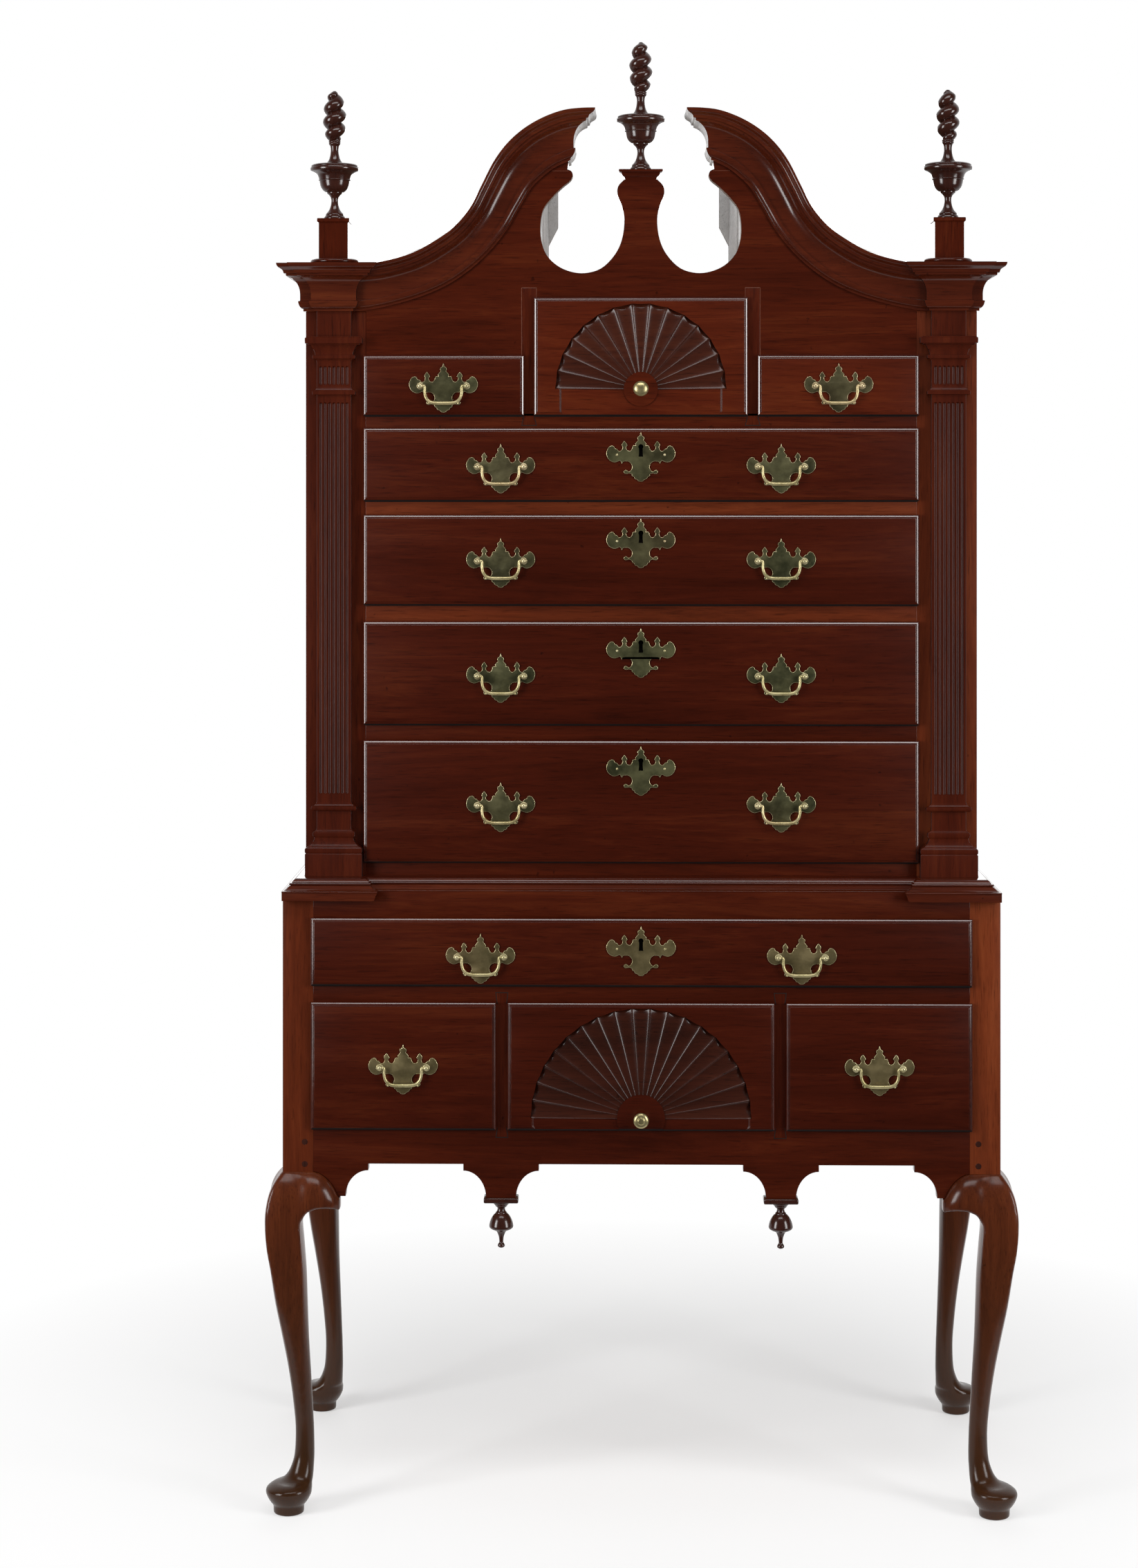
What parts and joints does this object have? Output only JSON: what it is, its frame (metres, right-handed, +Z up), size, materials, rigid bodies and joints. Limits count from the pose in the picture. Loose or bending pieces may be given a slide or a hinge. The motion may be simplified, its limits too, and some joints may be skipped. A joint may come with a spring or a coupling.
{
  "type": "bonnet-top highboy chest of drawers",
  "caption": "Tall two-part chest of drawers on cabriole legs, with a bonnet top, swan necks, flame finials, fluted pilasters, carved fans and brass bail pulls.",
  "frame": {"origin": "on the floor, under the middle of the bounding box", "axes": "+Z up, -Y to the front of the drawers, +X to the right seen from the front"},
  "size_m": [1.1258, 0.5834, 2.21],
  "materials": {
    "wood_case": "polished red-brown hardwood",
    "wood_drawer": "polished dark red-brown hardwood",
    "wood_turned": "aged dark brown hardwood",
    "wood_carcass": "stained hardwood outside, plain softwood inside",
    "brass_plate": "aged cast brass",
    "brass_bright": "rubbed cast brass"
  },
  "bodies": {
    "case": {"leg_front_left": "wood_case", "leg_back_left": "wood_case", "drop_left": "wood_turned", "leg_front_right": "wood_case", "leg_back_right": "wood_case", "drop_right": "wood_turned", "lower_carcass": "wood_carcass", "lower_front_frame": "wood_case", "pilaster_left": "wood_case", "cornice_left": "wood_case", "finial_left": "wood_turned", "pilaster_right": "wood_case", "cornice_right": "wood_case", "finial_right": "wood_turned", "waist_moulding": "wood_case", "upper_carcass": "wood_carcass", "upper_front_frame": "wood_case", "scroll_board": "wood_case", "finial_centre": "wood_turned"},
    "lower_long_drawer": {"lower_long_drawer": "wood_drawer", "lower_long_left_plate": "brass_plate", "lower_long_right_plate": "brass_plate"},
    "lower_small_left_drawer": {"lower_small_left_drawer": "wood_drawer", "lower_small_left_plate": "brass_plate"},
    "lower_small_right_drawer": {"lower_small_right_drawer": "wood_drawer", "lower_small_right_plate": "brass_plate"},
    "lower_fan_drawer": {"lower_fan_drawer": "wood_drawer", "lower_fan_knob": "brass_bright"},
    "upper_long_4_drawer": {"upper_long_4_drawer": "wood_drawer", "upper_long_4_left_plate": "brass_plate", "upper_long_4_right_plate": "brass_plate"},
    "upper_long_3_drawer": {"upper_long_3_drawer": "wood_drawer", "upper_long_3_left_plate": "brass_plate", "upper_long_3_right_plate": "brass_plate"},
    "upper_long_2_drawer": {"upper_long_2_drawer": "wood_drawer", "upper_long_2_left_plate": "brass_plate", "upper_long_2_right_plate": "brass_plate"},
    "upper_long_1_drawer": {"upper_long_1_drawer": "wood_drawer", "upper_long_1_left_plate": "brass_plate", "upper_long_1_right_plate": "brass_plate"},
    "upper_small_left_drawer": {"upper_small_left_drawer": "wood_drawer", "upper_small_left_plate": "brass_plate"},
    "upper_small_right_drawer": {"upper_small_right_drawer": "wood_drawer", "upper_small_right_plate": "brass_plate"},
    "upper_fan_drawer": {"upper_fan_drawer": "wood_drawer", "upper_fan_knob": "brass_bright"},
    "lower_long_left_bail": {"lower_long_left_bail": "brass_bright"},
    "lower_long_right_bail": {"lower_long_right_bail": "brass_bright"},
    "lower_small_left_bail": {"lower_small_left_bail": "brass_bright"},
    "lower_small_right_bail": {"lower_small_right_bail": "brass_bright"},
    "upper_long_4_left_bail": {"upper_long_4_left_bail": "brass_bright"},
    "upper_long_4_right_bail": {"upper_long_4_right_bail": "brass_bright"},
    "upper_long_3_left_bail": {"upper_long_3_left_bail": "brass_bright"},
    "upper_long_3_right_bail": {"upper_long_3_right_bail": "brass_bright"},
    "upper_long_2_left_bail": {"upper_long_2_left_bail": "brass_bright"},
    "upper_long_2_right_bail": {"upper_long_2_right_bail": "brass_bright"},
    "upper_long_1_left_bail": {"upper_long_1_left_bail": "brass_bright"},
    "upper_long_1_right_bail": {"upper_long_1_right_bail": "brass_bright"},
    "upper_small_left_bail": {"upper_small_left_bail": "brass_bright"},
    "upper_small_right_bail": {"upper_small_right_bail": "brass_bright"}
  },
  "joints": [
    {"name": "lower_long_slide", "type": "slide", "parent": "case", "child": "lower_long_drawer", "axis": [0, -1, 0], "range_m": [0, 0.36]},
    {"name": "lower_small_left_slide", "type": "slide", "parent": "case", "child": "lower_small_left_drawer", "axis": [0, -1, 0], "range_m": [0, 0.36]},
    {"name": "lower_small_right_slide", "type": "slide", "parent": "case", "child": "lower_small_right_drawer", "axis": [0, -1, 0], "range_m": [0, 0.36]},
    {"name": "lower_fan_slide", "type": "slide", "parent": "case", "child": "lower_fan_drawer", "axis": [0, -1, 0], "range_m": [0, 0.36]},
    {"name": "upper_long_4_slide", "type": "slide", "parent": "case", "child": "upper_long_4_drawer", "axis": [0, -1, 0], "range_m": [0, 0.36]},
    {"name": "upper_long_3_slide", "type": "slide", "parent": "case", "child": "upper_long_3_drawer", "axis": [0, -1, 0], "range_m": [0, 0.36]},
    {"name": "upper_long_2_slide", "type": "slide", "parent": "case", "child": "upper_long_2_drawer", "axis": [0, -1, 0], "range_m": [0, 0.36]},
    {"name": "upper_long_1_slide", "type": "slide", "parent": "case", "child": "upper_long_1_drawer", "axis": [0, -1, 0], "range_m": [0, 0.36]},
    {"name": "upper_small_left_slide", "type": "slide", "parent": "case", "child": "upper_small_left_drawer", "axis": [0, -1, 0], "range_m": [0, 0.36]},
    {"name": "upper_small_right_slide", "type": "slide", "parent": "case", "child": "upper_small_right_drawer", "axis": [0, -1, 0], "range_m": [0, 0.36]},
    {"name": "upper_fan_slide", "type": "slide", "parent": "case", "child": "upper_fan_drawer", "axis": [0, -1, 0], "range_m": [0, 0.36]},
    {"name": "lower_long_left_bail_hinge", "type": "hinge", "parent": "lower_long_drawer", "child": "lower_long_left_bail", "pos_m": [-0.2396, -0.2769, 0.8372], "axis": [-1, 0, 0], "range_deg": [0, 100]},
    {"name": "lower_long_right_bail_hinge", "type": "hinge", "parent": "lower_long_drawer", "child": "lower_long_right_bail", "pos_m": [0.2396, -0.2769, 0.8372], "axis": [-1, 0, 0], "range_deg": [0, 100]},
    {"name": "lower_small_left_bail_hinge", "type": "hinge", "parent": "lower_small_left_drawer", "child": "lower_small_left_bail", "pos_m": [-0.3553, -0.2769, 0.6718], "axis": [-1, 0, 0], "range_deg": [0, 100]},
    {"name": "lower_small_right_bail_hinge", "type": "hinge", "parent": "lower_small_right_drawer", "child": "lower_small_right_bail", "pos_m": [0.3553, -0.2769, 0.6718], "axis": [-1, 0, 0], "range_deg": [0, 100]},
    {"name": "upper_long_4_left_bail_hinge", "type": "hinge", "parent": "upper_long_4_drawer", "child": "upper_long_4_left_bail", "pos_m": [-0.2107, -0.2454, 1.0602], "axis": [-1, 0, 0], "range_deg": [0, 100]},
    {"name": "upper_long_4_right_bail_hinge", "type": "hinge", "parent": "upper_long_4_drawer", "child": "upper_long_4_right_bail", "pos_m": [0.2107, -0.2454, 1.0602], "axis": [-1, 0, 0], "range_deg": [0, 100]},
    {"name": "upper_long_3_left_bail_hinge", "type": "hinge", "parent": "upper_long_3_drawer", "child": "upper_long_3_left_bail", "pos_m": [-0.2107, -0.2454, 1.2544], "axis": [-1, 0, 0], "range_deg": [0, 100]},
    {"name": "upper_long_3_right_bail_hinge", "type": "hinge", "parent": "upper_long_3_drawer", "child": "upper_long_3_right_bail", "pos_m": [0.2107, -0.2454, 1.2544], "axis": [-1, 0, 0], "range_deg": [0, 100]},
    {"name": "upper_long_2_left_bail_hinge", "type": "hinge", "parent": "upper_long_2_drawer", "child": "upper_long_2_left_bail", "pos_m": [-0.2107, -0.2454, 1.4274], "axis": [-1, 0, 0], "range_deg": [0, 100]},
    {"name": "upper_long_2_right_bail_hinge", "type": "hinge", "parent": "upper_long_2_drawer", "child": "upper_long_2_right_bail", "pos_m": [0.2107, -0.2454, 1.4274], "axis": [-1, 0, 0], "range_deg": [0, 100]},
    {"name": "upper_long_1_left_bail_hinge", "type": "hinge", "parent": "upper_long_1_drawer", "child": "upper_long_1_left_bail", "pos_m": [-0.2107, -0.2454, 1.5692], "axis": [-1, 0, 0], "range_deg": [0, 100]},
    {"name": "upper_long_1_right_bail_hinge", "type": "hinge", "parent": "upper_long_1_drawer", "child": "upper_long_1_right_bail", "pos_m": [0.2107, -0.2454, 1.5692], "axis": [-1, 0, 0], "range_deg": [0, 100]},
    {"name": "upper_small_left_bail_hinge", "type": "hinge", "parent": "upper_small_left_drawer", "child": "upper_small_left_bail", "pos_m": [-0.2968, -0.2454, 1.6905], "axis": [-1, 0, 0], "range_deg": [0, 100]},
    {"name": "upper_small_right_bail_hinge", "type": "hinge", "parent": "upper_small_right_drawer", "child": "upper_small_right_bail", "pos_m": [0.2968, -0.2454, 1.6905], "axis": [-1, 0, 0], "range_deg": [0, 100]}
  ]
}
